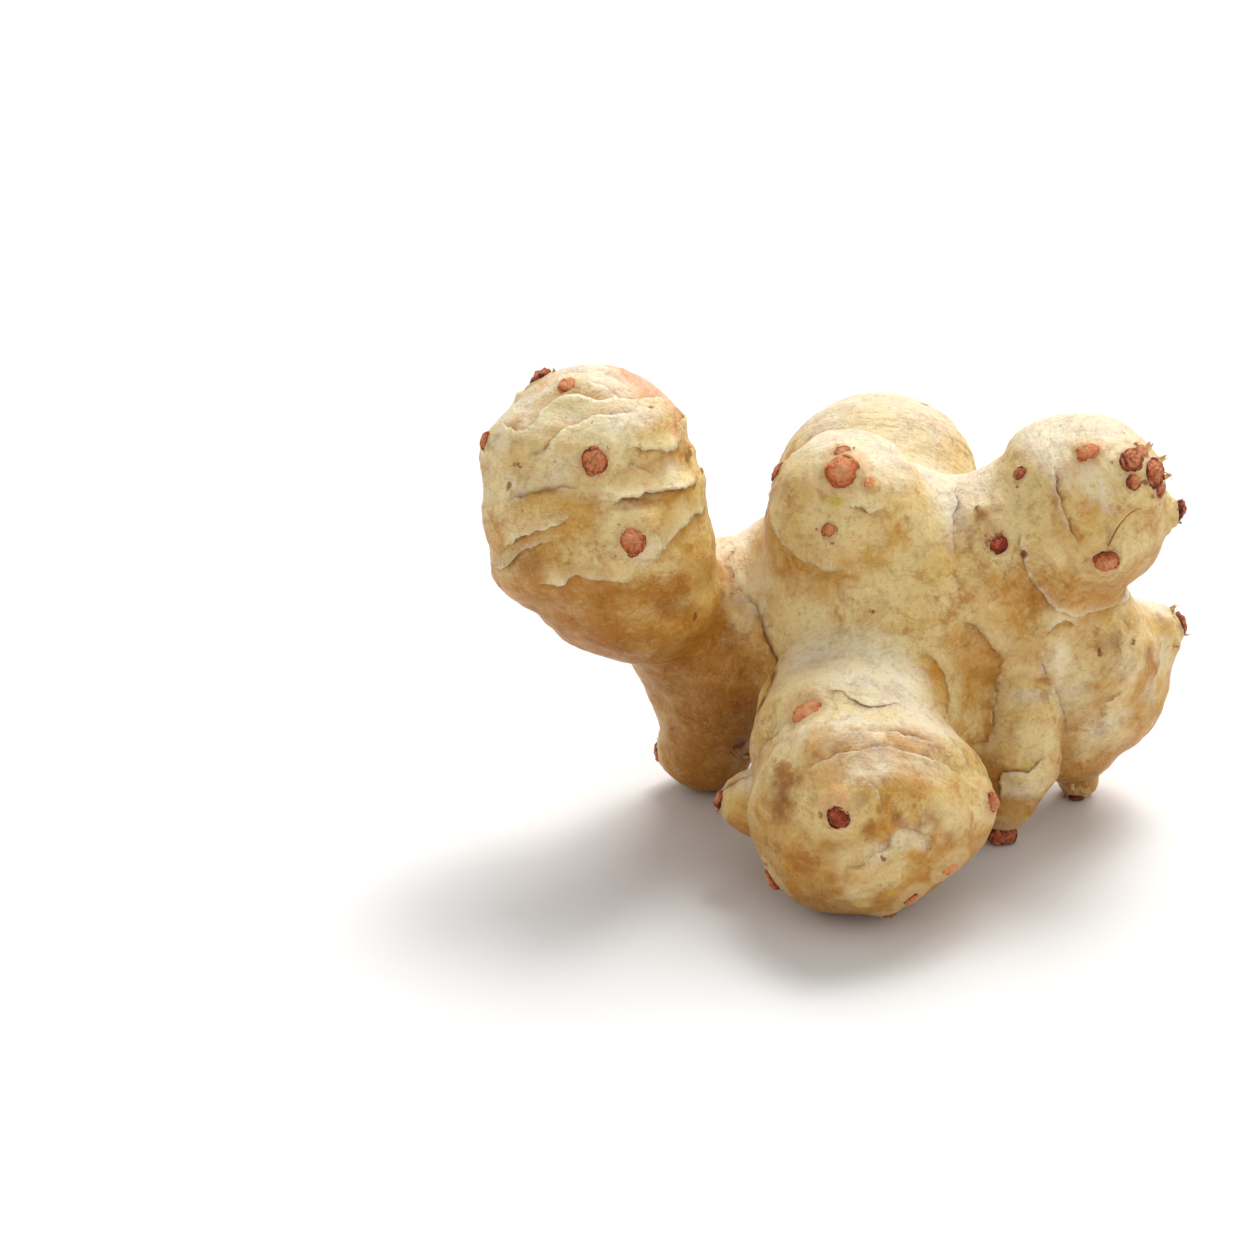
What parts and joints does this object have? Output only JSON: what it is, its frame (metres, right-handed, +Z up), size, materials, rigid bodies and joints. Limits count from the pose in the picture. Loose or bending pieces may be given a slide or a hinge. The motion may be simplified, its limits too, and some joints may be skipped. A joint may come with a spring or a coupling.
{
  "type": "jerusalem artichoke tuber",
  "caption": "Whole knobbly Jerusalem artichoke tuber with blunt lobes, leaf-scar ridges and reddish buds, lying on its lowest knobs.",
  "frame": {"origin": "on the surface that the tuber lies on, under the middle of its box", "axes": "+X along the tuber, from the upright thumb-like lobe to the shoulder and the fan; -Y towards the big blunt front lobe; +Z up"},
  "size_m": [0.0988, 0.0805, 0.067],
  "materials": {
    "skin": "thin dull plant skin, cream and tan, faintly translucent",
    "bud": "dull reddish-brown bud scales",
    "papery_skin": "dry, torn edges of the outer skin",
    "rootlet": "fine dry brown root hairs"
  },
  "bodies": {
    "root": {"tuber": "skin"}
  },
  "joints": []
}
